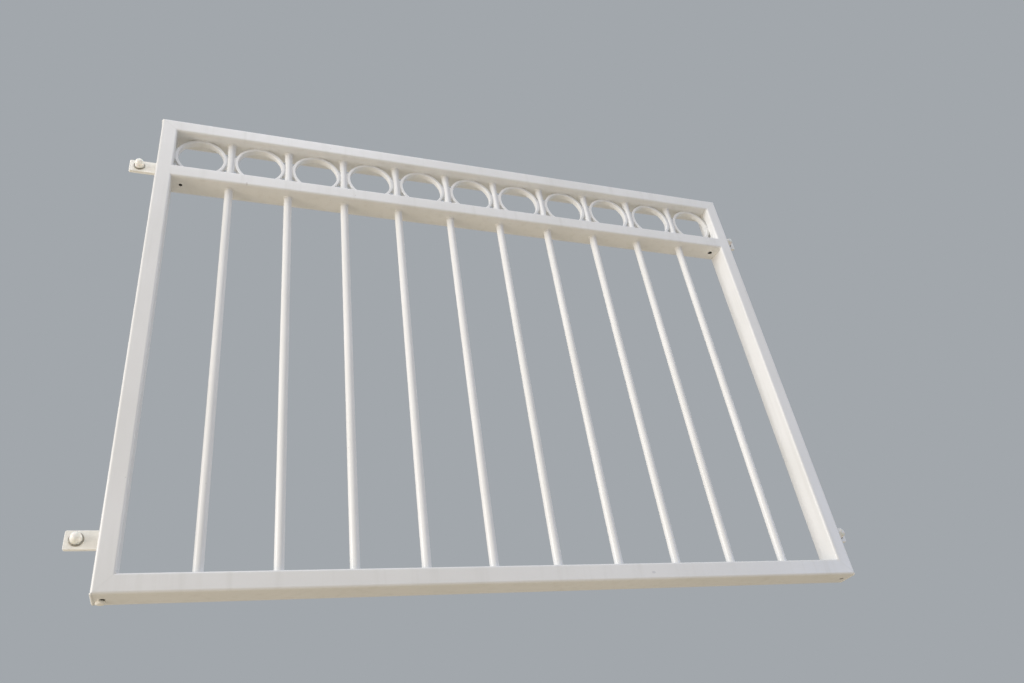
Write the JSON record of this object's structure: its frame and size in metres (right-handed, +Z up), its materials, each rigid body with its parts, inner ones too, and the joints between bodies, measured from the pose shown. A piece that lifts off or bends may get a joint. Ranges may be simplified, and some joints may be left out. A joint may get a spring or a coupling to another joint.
{
  "type": "juliet balcony",
  "caption": "Wall-fixed steel railing for a full-height window: a mitred tube frame with a row of rings above a cross rail and round upright bars below.",
  "frame": {"origin": "on the wall plane, in the middle of the lower left bracket's bearing face, on the bracket's centreline, halfway between the outer side of the left stile and the bolt hole's axis", "axes": "+X along the wall to the right as seen from outside, +Y square into the wall, +Z up"},
  "size_m": [1.426, 0.05, 0.9945],
  "materials": {
    "frame_tube": "satin white powder coat",
    "round_bar": "satin white powder coat",
    "ring_strip": "satin white powder coat",
    "bracket_plate": "satin white powder coat",
    "cap_plastic": "white moulded plastic caps of the wall bolts"
  },
  "bodies": {
    "root": {"left_stile": "frame_tube", "right_stile": "frame_tube", "top_rail": "frame_tube", "bottom_rail": "frame_tube", "ring_rail": "frame_tube", "bracket_lower_left": "bracket_plate", "bracket_lower_right": "bracket_plate", "bracket_upper_left": "bracket_plate", "bracket_upper_right": "bracket_plate", "zinc_run": "frame_tube", "ring_01": "ring_strip", "ring_02": "ring_strip", "ring_03": "ring_strip", "ring_04": "ring_strip", "ring_05": "ring_strip", "ring_06": "ring_strip", "ring_07": "ring_strip", "ring_08": "ring_strip", "ring_09": "ring_strip", "ring_10": "ring_strip", "ring_11": "ring_strip", "bar_01": "round_bar", "ring_post_01": "round_bar", "bar_02": "round_bar", "ring_post_02": "round_bar", "bar_03": "round_bar", "ring_post_03": "round_bar", "bar_04": "round_bar", "ring_post_04": "round_bar", "bar_05": "round_bar", "ring_post_05": "round_bar", "bar_06": "round_bar", "ring_post_06": "round_bar", "bar_07": "round_bar", "ring_post_07": "round_bar", "bar_08": "round_bar", "ring_post_08": "round_bar", "bar_09": "round_bar", "ring_post_09": "round_bar", "bar_10": "round_bar", "ring_post_10": "round_bar"}
  },
  "joints": []
}
